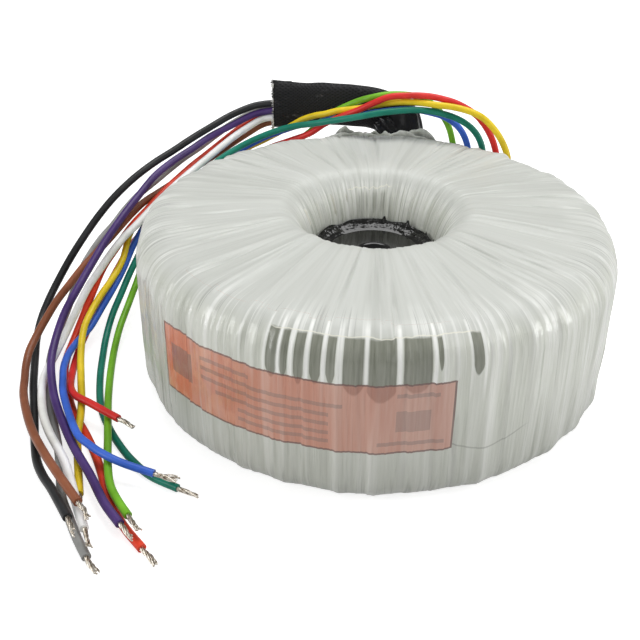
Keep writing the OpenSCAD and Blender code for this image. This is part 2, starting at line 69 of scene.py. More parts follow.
# The leads lie on the floor or on each other. Each runs from its exit to the end of its cover.
ROUTES = {
    "black": [
        (-30, 91, 63.4), (-38, 91, 63.4), (-43, 90.6, 63), (-48, 89.5, 62), (-55.5, 86, 59.7),
        (-63, 81, 56.7), (-70, 76, 53.8), (-77, 70, 50.8), (-84, 64, 48), (-91, 57, 44.5),
        (-97.5, 50, 40), (-102.5, 43.5, 35.5), (-107, 37, 30.5), (-112, 30, 24), (-116.5, 23, 17),
        (-119, 16, 12.5), (-120.5, 9, 8.5), (-120.5, 1, 5.2), (-119.5, -6, 3), (-118, -14, 1.8),
        (-116, -23, 1.5), (-113.5, -32, 1.5), (-110.5, -43, 1.5), (-107.5, -54, 1.5),
        (-104.5, -63, 2), (-100.5, -71, 3.1), (-95.5, -79, 4.5), (-88, -92, 6.1),
    ],
    "grey": [
        (-30, 93.5, 60.5), (-38, 93.5, 60.5), (-43, 93.6, 60.1), (-49, 93, 57.5),
        (-56, 90.5, 54.2), (-62, 86.7, 51), (-68, 81, 48), (-74, 75, 45.6), (-79, 69, 43.3),
        (-84, 62, 41), (-88.9, 55.4, 38.7), (-93.4, 47.2, 35.8), (-97, 39.5, 32.7),
        (-101.5, 33, 29), (-106, 25, 23.5), (-108.5, 18, 18), (-110.5, 9, 12.5), (-112.3, 0, 8.3),
        (-112.9, -10, 4.4), (-111.3, -20, 2), (-107.5, -34, 1.5), (-103.5, -45, 1.5),
        (-100, -55, 1.5), (-97, -65, 1.5), (-93.5, -78, 1.5), (-89.5, -86.5, 1.5),
        (-85.3, -95, 1.5), (-81, -102.5, 1.5),
    ],
    "orange": [
        (-30, 93.5, 57.6), (-38, 93.5, 57.6), (-43, 93.1, 56.8), (-49, 91.3, 54.6),
        (-55.2, 86.5, 51.5), (-64.9, 78.1, 46.1), (-69.8, 72.9, 43.7), (-74.5, 66.6, 41.3),
        (-79.9, 58.1, 38.6), (-85.4, 48.5, 35), (-90.6, 40.7, 31.4), (-95.3, 33.5, 26.3),
        (-99.5, 26, 21.5), (-102.5, 18, 15.5), (-105, 9.5, 9.8), (-107, 1, 5.2), (-108, -8, 2.7),
        (-106.7, -17, 1.5), (-103.5, -26, 1.5), (-99.5, -36.5, 1.5), (-92.5, -49, 1.5),
        (-87.5, -59, 1.5), (-83.5, -68.5, 1.5), (-79.5, -79.5, 1.5), (-73, -90.5, 1.5),
        (-66.5, -99, 1.5),
    ],
    "brown": [
        (-30, 92, 55.1), (-38, 92, 55.1), (-43, 91.7, 53.9), (-48, 90, 51.4), (-55.5, 86, 47.6),
        (-62, 81.5, 44.5), (-68.5, 76.5, 41.7), (-75, 70, 39), (-82, 60.5, 37.3),
        (-87.1, 52.9, 36.3), (-91.1, 45.3, 34.5), (-93.8, 39, 33), (-97.5, 32.5, 30.3),
        (-102, 26, 27), (-106, 20.5, 24), (-110, 14.5, 20.2), (-113.5, 9, 16.8), (-116.3, 3, 13.2),
        (-118.5, -3, 10), (-120, -9.5, 7.3), (-119.8, -16, 5.4), (-118.5, -23, 4.6),
        (-116.8, -31, 4.4), (-113, -41.5, 4.5), (-107.8, -53, 5.4), (-101, -65, 6.7),
        (-94.5, -75, 7.3), (-86, -87, 7.3),
    ],
    "violet": [
        (-30, 90.5, 60.5), (-38, 90.5, 60.5), (-43, 90.2, 59.8), (-48, 89, 58.5),
        (-55.5, 85, 55.7), (-63, 80, 53.2), (-70, 73.7, 50.2), (-77, 66, 47.8), (-83, 58, 45),
        (-88, 49, 41), (-93, 38, 36.8), (-98, 28, 31.5), (-102, 18, 26.5), (-105.5, 8, 21.8),
        (-108.5, 0, 17.3), (-110, -8, 13), (-110, -17, 10), (-108.5, -25, 8.2), (-105, -36, 6.3),
        (-99.5, -48, 5.2), (-93.5, -59.5, 4.6), (-86, -72, 4.4), (-79.5, -84, 4.4),
        (-73.5, -92.5, 4.4),
    ],
    "white": [
        (-30, 90.5, 57.6), (-38, 90.5, 57.6), (-43, 90, 56.8), (-48, 87.7, 54.6), (-55.5, 82, 51),
        (-66, 72.5, 45), (-74, 62, 41.2), (-80.5, 51, 38), (-87.3, 40.5, 33.5), (-92.5, 34, 30),
        (-96, 28, 27), (-100.5, 21, 22), (-104, 14.5, 17.8), (-108, 0.5, 11), (-110, -8.5, 7.8),
        (-111.5, -16, 5.8), (-112, -23, 4.8), (-110.7, -31, 4.4), (-107.5, -42, 4.4),
        (-103, -52, 4.4), (-96, -64, 4.4), (-91.5, -74, 4.4), (-87.1, -85, 4.4), (-83, -94.5, 4.4),
    ],
    "green_yellow": [
        (35.2, 73.7, 44), (35.2, 73.7, 49), (34.2, 73.6, 54), (32.5, 74, 59.5), (30, 74, 64),
        (26.8, 73.6, 68), (22, 73.2, 71.5), (16, 73, 73.2), (8, 73, 73.4), (0.5, 74.3, 71.5),
        (-4, 77, 69.2), (-8, 78.8, 66.8), (-12, 80.5, 64.2), (-17, 83.1, 59.8), (-24, 84, 53),
        (-31, 84.8, 48.5), (-40, 86, 43.7), (-50, 84, 38.3), (-60, 75.5, 33), (-69, 67, 28.8),
        (-76.5, 58, 25.8), (-82.5, 47, 22.5), (-86, 36, 18.7), (-88, 26, 14.3), (-90, 18.5, 9.8),
        (-91.5, 9, 6.5), (-91.7, 0, 4.8), (-91.2, -9, 4.2), (-89.8, -21.5, 4.2), (-88, -34, 4.2),
        (-86, -45, 4.2), (-84, -55.5, 4.2), (-82, -66, 4.2), (-79.5, -75.5, 4.2),
        (-76.3, -82, 4.2), (-71.6, -89.8, 5),
    ],
    "blue": [
        (40.7, 70.6, 44), (40.7, 70.6, 49), (39.5, 70.6, 54.5), (37, 70.8, 59.5), (33.5, 71, 63),
        (29, 70.4, 65.7), (24, 70, 67.3), (18, 69.8, 68.5), (12, 69.8, 68.4), (4, 71.5, 66.8),
        (-4, 74.7, 64.2), (-12, 78.2, 61.7), (-17, 80, 60), (-21, 80.4, 58.6), (-26, 80.6, 58),
        (-31, 80.9, 56.5), (-41, 82, 52.2), (-52, 80, 47), (-62, 74.5, 42.5), (-71, 67.5, 38.2),
        (-79, 59.5, 35), (-85, 49.5, 30.8), (-90, 40, 24.5), (-93, 30.5, 18.7),
        (-95.8, 21.5, 14.8), (-99, 14, 10.8), (-101.8, 6, 7.6), (-104.5, -1.5, 6.8),
        (-106, -10, 6.8), (-106, -18, 6.8), (-104.5, -26, 6.8), (-102.5, -34, 6.8),
        (-98, -45.5, 7), (-93, -56, 7.2), (-88.5, -61, 7.2), (-83, -65.5, 7), (-76, -69, 6.2),
        (-67, -72, 5.2),
    ],
    "green": [
        (46, 67.3, 44), (46, 67.4, 49), (45, 67.4, 54.5), (42.5, 67.4, 59.5), (38.5, 67.2, 63.5),
        (33, 67, 66.5), (26, 67, 68.5), (19, 67, 69.3), (12, 67, 69), (4, 67.5, 67.8),
        (-4, 69, 65.7), (-12, 72, 63.3), (-21, 75.5, 60.5), (-31, 78, 58), (-42, 79.3, 53.7),
        (-52, 76.7, 49.5), (-61, 71.5, 45), (-69, 65.3, 39.8), (-76.5, 57, 34.3), (-83, 47.5, 29),
        (-87, 38.5, 23), (-90.5, 31, 17.3), (-93, 23, 12.5), (-95.5, 15, 7.5), (-96.5, 6, 3.5),
        (-96, -4, 1.6), (-94.7, -15, 1.3), (-92.5, -27, 1.3), (-90, -36, 1.3), (-86, -45, 1.3),
        (-81.5, -53, 1.3), (-76, -61, 1.3), (-69, -68.5, 1.3), (-60, -74, 1.3),
    ],
    "red": [
        (51, 63.6, 44), (51, 63.6, 48.5), (50.2, 63.6, 53), (48.7, 63.6, 57.5), (46.7, 63.6, 61.5),
        (44.3, 63.9, 65), (41.5, 64.2, 68), (38, 65.5, 70.2), (33, 67, 72.3), (27, 68, 73.7),
        (21.5, 68.5, 74.4), (15, 69, 74.3), (8, 70, 73.4), (2.5, 70.5, 71), (-4, 72, 67.3),
        (-11, 74.5, 63.5), (-17, 77, 59.8), (-23, 79, 55), (-31, 81.5, 51), (-41, 84, 46.3),
        (-50, 83, 41.8), (-61, 77, 36.5), (-70.5, 69.5, 32), (-79, 61.5, 28.5), (-86.5, 51, 26.3),
        (-92, 41.5, 22.5), (-95.7, 32.5, 17.8), (-99, 25, 13), (-102, 16, 8), (-104, 7, 4.2),
        (-104.8, -2, 2.8), (-104.3, -12, 2.9), (-103, -22, 4), (-101, -30, 5.8), (-98, -35.5, 6.8),
        (-93, -39.3, 7), (-87.5, -43.5, 7), (-81.8, -47.8, 7),
    ],
    "yellow": [
        (55, 60.1, 44), (55, 60.1, 49), (53.8, 60, 54), (51.8, 60, 58.5), (49.2, 60.2, 62.5),
        (46.1, 60.7, 66), (42.5, 61.3, 68.8), (38, 62.6, 70.5), (32, 64.2, 71.5), (26, 65.9, 71.7),
        (20, 68, 71.8), (13, 70.2, 71.3), (6, 72.6, 69.8), (-4, 75, 67), (-12, 77, 65.2),
        (-17, 79, 63.2), (-21, 81.2, 61.7), (-26, 83.4, 59.2), (-31, 83.7, 56.2),
        (-41, 84.7, 50.4), (-51, 84, 45.5), (-61, 79, 40.5), (-71, 71.5, 36), (-79.5, 63, 33),
        (-87, 53, 32), (-91.3, 42, 28.5), (-93.2, 30.5, 22), (-96, 22, 18.5), (-99.5, 15.5, 14.8),
        (-102, 8, 11.8), (-102.8, 0, 9.8), (-101.7, -11, 7), (-99.3, -23, 4.8), (-96.8, -34, 4.2),
        (-95, -44, 4.5), (-94.3, -52, 3.3), (-92.7, -60, 1.6), (-90.5, -69, 1.3),
        (-88.5, -77, 1.3),
    ],
}
SLEEVE_ROUTE = [
    (14.5, 84.3, 44), (14.5, 84.3, 49), (14, 84.4, 54), (11.8, 84.6, 58.6), (7.5, 85, 62), (1, 85.8, 63.8),
    (-7, 87.3, 64.3), (-15, 89.4, 63.6), (-22, 91.3, 62.8), (-29, 92, 62.5), (-38, 92, 62.5),
]

LEADS = {
    "black": (2.8, (0.011, 0.012, 0.013)),
    "grey": (2.8, (0.3, 0.3, 0.29)),
    "orange": (2.8, (0.72, 0.045, 0.012)),
    "brown": (2.8, (0.24, 0.075, 0.03)),
    "violet": (2.8, (0.06, 0.024, 0.15)),
    "white": (2.8, (0.92, 0.92, 0.87)),
    "green_yellow": (2.5, (0.17, 0.46, 0.015)),
    "blue": (2.5, (0.035, 0.13, 0.62)),
    "green": (2.5, (0.0, 0.2, 0.135)),
    "red": (2.5, (0.68, 0.02, 0.015)),
    "yellow": (2.5, (0.82, 0.6, 0.012)),
}


def blend(a, b, share):
    return a + (b - a) * share


def smooth_line(route, steps):
    """The smooth line through a route's points, in metres."""
    points = [Vector(p) * MM for p in route]
    line = []
    for i in range(len(points) - 1):
        before = points[i - 1] if i else 2 * points[0] - points[1]
        after = points[i + 2] if i + 2 < len(points) else 2 * points[-1] - points[-2]
        b, c = points[i], points[i + 1]
        for k in range(steps):
            t = k / steps
            line.append(
                0.5
                * (
                    2 * b
                    + (c - before) * t
                    + (2 * before - 5 * b + 4 * c - after) * t * t
                    + (3 * b - before - 3 * c + after) * t * t * t
                )
            )
    line.append(points[-1])
    return line


# ---------------------------------------------------------------- camera

camera_data = bpy.data.cameras.new("camera")
camera_data.lens = 54
camera_data.sensor_width = 36
camera_data.clip_start = 0.01
camera = bpy.data.objects.new("camera", camera_data)
bpy.context.collection.objects.link(camera)
camera.matrix_world = Matrix(
    (
        (0.99997, -0.00803, 0.0, -0.018157),
        (0.00418, 0.52069, -0.85373, -0.291084),
        (0.00685, 0.85371, 0.52071, 0.192575),
        (0.0, 0.0, 0.0, 1.0),
    )
)
bpy.context.scene.camera = camera
bpy.context.scene.view_settings.view_transform = "Standard"


# ---------------------------------------------------------------- finishes


class Level:
    """A number that varies over a surface. Sums with it add Math nodes."""

    def __init__(self, finish, socket):
        self.finish = finish
        self.socket = socket

    def sum(self, operation, first, second):
        return self.finish.node(
            "ShaderNodeMath", {"operation": operation}, {0: first, 1: second}
        )

    def __add__(self, other):
        return self.sum("ADD", self, other)

    def __radd__(self, other):
        return self.sum("ADD", other, self)

    def __sub__(self, other):
        return self.sum("SUBTRACT", self, other)

    def __rsub__(self, other):
        return self.sum("SUBTRACT", other, self)

    def __mul__(self, other):
        return self.sum("MULTIPLY", self, other)

    def __rmul__(self, other):
        return self.sum("MULTIPLY", other, self)

    def __truediv__(self, other):
        return self.sum("DIVIDE", self, other)

    def __pow__(self, other):
        return self.sum("POWER", self, other)

    def __lt__(self, other):
        return self.sum("LESS_THAN", self, other)

    def __gt__(self, other):
        return self.sum("GREATER_THAN", self, other)


class Finish:
    """One material: its nodes, its Principled shader and what feeds it."""

    def __init__(self, name, **fixed):
        self.material = bpy.data.materials.new(name)
        self.material.use_nodes = True
        self.tree = self.material.node_tree
        self.shader = self.tree.nodes["Principled BSDF"]
        for words, value in fixed.items():
            socket = self.shader.inputs[words.replace("_", " ").title().replace("Ior", "IOR")]
            socket.default_value = value

    def node(self, kind, settings, values, output=0):
        made = self.tree.nodes.new(kind)
        for name, value in settings.items():
            if name == "stops":
                ramp = made.color_ramp
                while len(ramp.elements) < len(value):
                    ramp.elements.new(0.5)
                for element, (place, colour) in zip(ramp.elements, value):
                    element.position = place
                    element.color = (*colour, 1)
            else:
                setattr(made, name, value)
        for name, value in values.items():
            self.join(value, made.inputs[name])
        return Level(self, made.outputs[output])

    def join(self, value, socket):
        if isinstance(value, Level):
            self.tree.links.new(value.socket, socket)
        else:
            socket.default_value = value

    def set(self, name, value):
        self.join(value, self.shader.inputs[name])

    def place(self):
        return self.node("ShaderNodeTexCoord", {}, {}, "Object")

    def attribute(self, name):
        return self.node("ShaderNodeAttribute", {"attribute_name": name}, {}, "Vector")

    def stretch(self, vector, scale):
        return self.node(
            "ShaderNodeVectorMath", {"operation": "MULTIPLY"}, {0: vector, 1: scale}
        )

    def parts(self, vector):
        split = self.tree.nodes.new("ShaderNodeSeparateXYZ")
        self.tree.links.new(vector.socket, split.inputs[0])
        return [Level(self, socket) for socket in split.outputs]

    def noise(self, vector, scale, detail=3.0, roughness=0.5):
        values = {"Vector": vector, "Scale": scale, "Detail": detail, "Roughness": roughness}
        return self.node("ShaderNodeTexNoise", {}, values, "Fac")

    def ramp(self, level, stops):
        return self.node("ShaderNodeValToRGB", {"stops": stops}, {"Fac": level}, "Color")

    def fade(self, level, low, high, bottom=0.0, top=1.0):
        values = {
            "Value": level,
            "From Min": low,
            "From Max": high,
            "To Min": bottom,
            "To Max": top,
        }
        return self.node("ShaderNodeMapRange", {"clamp": True}, values)

    def mix(self, share, a, b, how="MIX"):
        settings = {"data_type": "RGBA", "blend_type": how}
        return self.node("ShaderNodeMix", settings, {0: share, 6: a, 7: b}, 2)

    def bump(self, height, distance, strength=1.0, normal=None):
        values = {"Height": height, "Distance": distance, "Strength": strength}
        if normal:
            values["Normal"] = normal
        return self.node("ShaderNodeBump", {}, values)


def rgb(r, g, b):
    return (r, g, b, 1)


def absolute(level):
    return level.sum("ABSOLUTE", level, 0.0)


def film_finish():
    """Milky film tape. Pleats run along the winding; the label's print shows through the front."""
    f = Finish("film_tape", roughness=0.3, ior=1.5, coat_roughness=0.1)
    winding = f.attribute("winding")
    fine = f.noise(f.stretch(winding, (1, 1, 0.05)), 900, 4, 0.6)
    narrow = f.noise(f.stretch(winding, (1, 1, 0.035)), 330, 3, 0.5)
    wide = f.noise(f.stretch(winding, (1, 1, 0.09)), 70, 2, 0.5)
    streak = narrow * 0.45 + wide * 0.3 + fine * 0.25
    x, y, above = f.parts(f.place())
    radius = (x * x + y * y) ** 0.5

    # On top the film lies smooth and its streaks are faint. Low down the wall is painted darker, as painted
    # shade.
    flat = f.fade(above, 0.0525, 0.0565)
    # The streaks are partly the film's own uneven milkiness and partly painted light: dark streaks are painted
    # shade between the pleats, light ones painted highlight on them. The wall-and-hole ramp and the top's ramp
    # are set to different brightness to match how the light falls on each.
    crumpled = f.ramp(
        streak,
        [(0.32, (0.43, 0.45, 0.385)), (0.47, (0.65, 0.67, 0.595)), (0.66, (0.82, 0.835, 0.775))],
    )
    smooth = f.ramp(
        streak,
        [(0.3, (0.5, 0.515, 0.475)), (0.5, (0.59, 0.605, 0.565)), (0.7, (0.64, 0.655, 0.62))],
    )
    shade = f.mix(flat, crumpled, smooth)
    low = f.fade(above, 0.0, 0.034, 0.72, 1.0)

    # Painted highlights: tall glints on the pleats below the shoulder and in the hole; painted shade in short
    # creases above them.
    turned = f.stretch(winding, (1, 1, 0.004))
    pleat = f.noise(turned, 190, 3, 0.6)
    tuck = f.noise(turned, 420, 2, 0.6)
    outside = f.fade(radius, 0.06, 0.064)
    bend = f.fade(above, 0.036, 0.05) * f.fade(above, 0.0588, 0.0565)
    painted_glint = f.fade(absolute(pleat - 0.52), 0.0, 0.045, 0.8, 0.0) * bend * outside
    inner = f.fade(radius, 0.031, 0.027) * f.fade(above, 0.04, 0.047) * f.fade(above, 0.059, 0.055)
    painted_glint = painted_glint + f.fade(absolute(pleat - 0.5), 0.0, 0.06, 0.9, 0.0) * inner
    shade = f.mix(painted_glint * 0.85, shade, rgb(0.88, 0.89, 0.85))
    # Painted shade: dark lines in short creases on the top near the shoulder.
    painted_crease_shade = f.fade(absolute(tuck - 0.47), 0.0, 0.02, 1.0, 0.0)
    short = f.fade(radius, 0.064, 0.07) * f.fade(above, 0.0515, 0.054) * f.fade(wide, 0.4, 0.55)
    shade = f.mix(painted_crease_shade * short * 0.75, shade, rgb(0.2, 0.2, 0.19))
    # Painted shade: dark lines in short creases at the foot of the wall.
    foot = f.fade(above, 0.011, 0.003) * f.fade(absolute(narrow - 0.5), 0.0, 0.03, 1.0, 0.0)
    shade = f.mix(foot * 0.45, shade, rgb(0.14, 0.145, 0.12))

    # Painted reflection: the dark of the room is painted into the flatter bands below the shoulder, as far as
    # each is flat.
    across, up, _ = f.parts(f.attribute("label_place"))
    height = up + 0.0195
    bent = across + (narrow - 0.5) * 0.0009
    painted_reflection = 0.0
    painted_highlight_beside = 0.0
    for middle, half, tip in PAINTED_REFLECTION_BANDS:
        off = absolute(bent - middle * MM)
        share = off / (half * MM)
        tongue = f.fade(height - tip * MM - share * share * 0.0035, 0.0, 0.0008)
        painted_reflection = painted_reflection + f.fade(share, 1.0, 0.92) * tongue
        painted_highlight_beside = painted_highlight_beside + f.fade(absolute(off - (half + 0.55) * MM), 0.0, 0.0006, 1.0, 0.0)
    painted_reflection = painted_reflection * f.fade(height, 0.0555, 0.0549)
    dark = f.mix(f.fade(fine, 0.4, 0.6), rgb(0.17, 0.18, 0.135), rgb(0.24, 0.25, 0.2))
    shade = f.mix(painted_reflection * 0.94, shade, dark)
    # Painted highlights: bright lines beside each painted reflection band.
    painted_highlight_beside = painted_highlight_beside * f.fade(height, 0.034, 0.044) * f.fade(height, 0.0578, 0.0565)
    shade = f.mix(painted_highlight_beside * 0.85, shade, rgb(0.95, 0.96, 0.92))

    # Painted reflection: in the hole the far wall is painted darker in a few bands, the potting mirrored
    # there, under a fine wrinkle.
    far = f.fade(y, 0.012, 0.018) * f.fade(radius, 0.032, 0.028)
    painted_hole_reflection = f.fade(pleat, 0.46, 0.52) * far * f.fade(absolute(x - 0.0008), 0.006, 0.0052)
    painted_hole_reflection = painted_hole_reflection * f.fade(above, 0.0445, 0.049) * f.fade(above, 0.0545, 0.053)
    shade = f.mix(painted_hole_reflection * 0.6, shade, rgb(0.25, 0.26, 0.21))

    # A fine wrinkle runs round above the bands and a zigzag one on the far wall of the hole, both painted as
    # bright lines: painted highlights along the wrinkles. A wavy one runs beside the label.
    slow = f.noise(f.stretch(winding, (1, 1, 0)), 90, 3, 0.6)
    wrinkle_highlight = f.fade(absolute(height - 0.0545 - slow * 0.0018), 0.0, 0.00018, 1.0, 0.0)
    wrinkle_highlight = wrinkle_highlight * f.fade(across, -0.008, -0.004) * f.fade(across, 0.056, 0.052)
    zigzag = f.noise(f.stretch(winding, (1, 1, 0)), 110, 2, 0.5)
    second = f.fade(absolute(above - 0.0528 - zigzag * 0.0045), 0.0, 0.00025, 1.0, 0.0)
    second = second * far * f.fade(absolute(x + 0.001), 0.0085, 0.007)
    shade = f.mix(wrinkle_highlight * 0.8 + second * 0.8, shade, rgb(0.9, 0.88, 0.76))
    bend = f.node("ShaderNodeMath", {"operation": "SINE"}, {0: across * 170.0 - 5.4})
    wavy = f.fade(absolute(up - 0.0005 - bend * 0.0022), 0.0, 0.0004, 1.0, 0.0)
    wavy = wavy * f.fade(across, 0.036, 0.042) * f.fade(across, 0.074, 0.07)
    shade = f.mix(wavy * 0.6, shade, rgb(0.25, 0.26, 0.22))
    # Painted shade: the colour is multiplied darker towards the bottom of the wall.
    shade = f.mix(1.0, shade, f.mix(low, rgb(0, 0, 0), rgb(1, 1, 1)), "MULTIPLY")

    # The label: the place across it and up it, in metres, bent a little by the pleats.
    across = across + (narrow - 0.5) * 0.0016
    up = up + (fine - 0.5) * 0.0006 + (wide - 0.5) * 0.0008

    def box(x0, x1, z0, z1):
        return (across > x0) * (across < x1) * (up > z0) * (up < z1)

    paper = box(-0.048, 0.048, 0.0, 0.0235)
    inside = box(-0.0474, 0.0474, 0.0006, 0.0229)
    tint = f.fade(across, -0.048, 0.048)
    red = f.ramp(
        tint, [(0.0, (0.7, 0.2, 0.09)), (0.35, (0.6, 0.24, 0.15)), (1.0, (0.56, 0.3, 0.235))]
    )
    milk = f.fade(streak, 0.45, 0.62, 0.0, 0.5)
    printed = f.mix(milk, red, rgb(0.74, 0.52, 0.43))
    stain = f.fade(f.noise(winding, 130, 4, 0.6), 0.52, 0.6, 0.0, 0.45) * f.fade(across, -0.005, -0.03)
    printed = f.mix(stain, printed, rgb(0.8, 0.4, 0.24))
    # The painted reflection darkens the label too.
    printed = f.mix(painted_reflection * 0.45, printed, rgb(0.25, 0.09, 0.06))
    ink = rgb(0.16, 0.13, 0.12)
    rows = 0.0
    for z, x0, x1 in (
        (0.0192, -0.030, -0.012), (0.0160, -0.030, 0.016), (0.0128, -0.030, 0.012),
        (0.0096, -0.024, 0.012), (0.0064, -0.016, 0.012), (0.0034, -0.016, 0.012),
        (0.0196, 0.031, 0.043), (0.0035, 0.026, 0.045),
    ):
        rows = rows + box(x0, x1, z - 0.00065, z + 0.00065)
    printed = f.mix(rows * 0.42, printed, ink)
    block = box(-0.0445, -0.0345, 0.0075, 0.0175) + box(0.031, 0.041, 0.0075, 0.0145) * 0.7
    printed = f.mix(block * 0.55, printed, ink)
    printed = f.mix((1 - inside) * 0.75, printed, rgb(0.08, 0.05, 0.045))
    f.set("Base Color", f.mix(paper * 0.95, shade, printed))

    f.set("Roughness", 0.22 + fine * 0.12 + f.fade(wide, 0.35, 0.65) * 0.1 + flat * 0.2)
    f.set("Coat Weight", f.fade(narrow, 0.35, 0.6, 0.2, 0.75) * (1 - flat * 0.75))
    relief = (fine * 0.35 + narrow * 0.65) * (1 - flat * 0.8)
    f.set("Normal", f.bump(relief, 0.0011, 0.75))
    return f.material


def cover_finish(name, colour):
    """The soft plastic cover of one lead."""
    f = Finish(name, roughness=0.34, specular_ior_level=0.35)
    place = f.place()
    patch = f.noise(place, 90, 3)
    dust = f.noise(place, 1500, 2)
    light = rgb(*[min(1.0, c * 1.16 + 0.012) for c in colour])
    dark = rgb(*[c * 0.84 for c in colour])
    f.set("Base Color", f.mix(f.fade(patch, 0.35, 0.65), dark, light))
    f.set("Roughness", 0.28 + dust * 0.18)
    f.set("Normal", f.bump(dust * 0.5 + patch * 0.5, 0.00012, 0.4))
    return f.material


def strand_finish():
    """Tinned copper strands, a little dull in the lay."""
    f = Finish("tinned_strands", metallic=1.0, roughness=0.3)
    place = f.place()
    worn = f.noise(place, 900, 3)
    f.set("Base Color", f.ramp(worn, [(0.35, (0.42, 0.36, 0.28)), (0.6, (0.74, 0.7, 0.63))]))
    f.set("Roughness", 0.22 + worn * 0.2)
    return f.material


def weave_finish():
    """Black woven glass sleeve. The weave follows the sleeve, round and along it in metres."""
    f = Finish("woven_sleeve", roughness=0.6, specular_ior_level=0.25)
    weave = f.attribute("weave")
    around, along, _ = f.parts(weave)

    def wave(level):
        return f.node("ShaderNodeMath", {"operation": "SINE"}, {0: level * 5200.0}) * 0.5 + 0.5

    over = wave(around + along)
    under = wave(around - along)
    thread = over.sum("MAXIMUM", over, under)
    fluff = f.noise(f.stretch(weave, (1, 1, 1)), 700, 4, 0.7)
    rub = f.noise(weave, 160, 3)
    colour = f.ramp(thread * 0.5 + fluff * 0.5, [(0.35, (0.003, 0.003, 0.003)), (0.75, (0.015, 0.015, 0.017))])
    colour = f.mix(f.fade(fluff * rub, 0.33, 0.45, 0.0, 0.22), colour, rgb(0.3, 0.3, 0.31))
    rough_edge = f.fade(along, 0.0505, 0.0525) * f.fade(thread, 0.6, 0.8, 0.1, 0.8)
    colour = f.mix(rough_edge, colour, rgb(0.5, 0.5, 0.48))
    f.set("Base Color", colour)
    f.set("Roughness", 0.42 + fluff * 0.3)
    f.set("Normal", f.bump(thread * 0.6 + fluff * 0.4, 0.0003, 0.9))
    return f.material


def fibre_finish():
    f = Finish("cut_fibres", roughness=0.5)
    worn = f.noise(f.place(), 500, 2)
    f.set("Base Color", f.ramp(worn, [(0.38, (0.12, 0.12, 0.12)), (0.5, (0.78, 0.77, 0.74))]))
    return f.material


def black_finish(name, rough, grain):
    """Shiny black plastic or resin."""
    f = Finish(name, roughness=rough, specular_ior_level=0.22)
    place = f.place()
    slow = f.noise(place, 60, 3)
    quick = f.noise(place, grain, 3)
    f.set("Base Color", f.ramp(slow, [(0.35, (0.004, 0.004, 0.005)), (0.65, (0.013, 0.013, 0.015))]))
    f.set("Roughness", rough + quick * 0.12)
    f.set("Normal", f.bump(slow * 0.6 + quick * 0.4, 0.0006, 0.5))
    return f.material


def resin_finish():
    """Glossy black resin, level in the middle, with a thick wavy rim."""
    f = Finish("potting", roughness=0.06, specular_ior_level=0.5)
    place = f.place()
    slow = f.noise(place, 60, 3)
    x, y, _ = f.parts(place)
    rim = f.fade((x * x + y * y) ** 0.5, 0.0155, 0.018)
    f.set("Base Color", f.mix(slow, rgb(0.002, 0.002, 0.002), rgb(0.01, 0.01, 0.008)))
    f.set("Roughness", 0.05 + slow * 0.06 + rim * 0.04)
    ripple = f.noise(place, 420, 2)
    f.set("Normal", f.bump(slow * (0.06 + rim * 0.9) + ripple * rim * 0.5, 0.002, 0.8))
    return f.material


def hidden_finish(name, low, high, metallic, scale, stretch):
    """What lies under the film: wire, foil, steel strip or tape."""
    f = Finish(name, metallic=metallic, roughness=0.4)
    grain = f.noise(f.stretch(f.place(), stretch), scale, 3)
    f.set("Base Color", f.ramp(grain, [(0.4, low), (0.6, high)]))
    f.set("Roughness", 0.3 + grain * 0.2)
    f.set("Normal", f.bump(grain, 0.0002, 0.6))
    return f.material


# ---------------------------------------------------------------- making pieces


def finish_piece(name, bm, material, nodes, smooth=True):
    """Turns a bmesh into a piece of the part."""
    bmesh.ops.recalc_face_normals(bm, faces=bm.faces)
    mesh = bpy.data.meshes.new(name)
    bm.to_mesh(mesh)
    bm.free()
    mesh.materials.append(material)
    mesh.polygons.foreach_set("use_smooth", [smooth] * len(mesh.polygons))
    piece = bpy.data.objects.new(name, mesh)
    bpy.context.collection.objects.link(piece)
    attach(piece, "root")
    if nodes:
        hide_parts(*nodes)
    return piece


def open_line(bm, points, closed=False):
    """A few vertices joined into one line."""
    verts = [bm.verts.new(p) for p in points]
    edges = [bm.edges.new(pair) for pair in zip(verts, verts[1:])]
    if closed:
        edges.append(bm.edges.new((verts[-1], verts[0])))
    return verts, edges


def loft(bm, rings, close_start=True, close_end=True):
    """Draws a closed line through rings of points, extruding it from each to the next."""
    verts, edges = open_line(bm, rings[0], closed=True)
    if close_start:
        bmesh.ops.contextual_create(bm, geom=verts)
    for ring in rings[1:]:
        grown = bmesh.ops.extrude_edge_only(bm, edges=edges)["geom"]
        new_edges = [g for g in grown if isinstance(g, bmesh.types.BMEdge)]
        # The new edges on the moved line are those whose vertices are both new.
        moved = {g for g in grown if isinstance(g, bmesh.types.BMVert)}
        links = {}
        for vert in verts:
            for edge in vert.link_edges:
                other = edge.other_vert(vert)
                if other in moved:
                    links[vert] = other
        for vert, point in zip(verts, ring):
            links[vert].co = point
        verts = [links[vert] for vert in verts]
        edges = [e for e in new_edges if e.verts[0] in moved and e.verts[1] in moved]
    if close_end:
        bmesh.ops.contextual_create(bm, geom=verts)
    return verts


def field(angle, along, count, rows, seed):
    """A smooth random field from -1 to 1, periodic round the ring; along runs from 0 to 1."""
    table = np.random.default_rng(seed).uniform(-1, 1, (rows + 1, count))
    x = angle / TURN % 1 * count
    y = np.clip(along, 0, 1) * (rows - 1e-6)
    i, j = np.floor(x).astype(int), np.floor(y).astype(int)
    fx, fy = x - i, y - j
    fx, fy = fx * fx * (3 - 2 * fx), fy * fy * (3 - 2 * fy)
    i, k = i % count, (i + 1) % count
    low = table[j, i] * (1 - fx) + table[j, k] * fx
    high = table[j + 1, i] * (1 - fx) + table[j + 1, k] * fx
    return low * (1 - fy) + high * fy


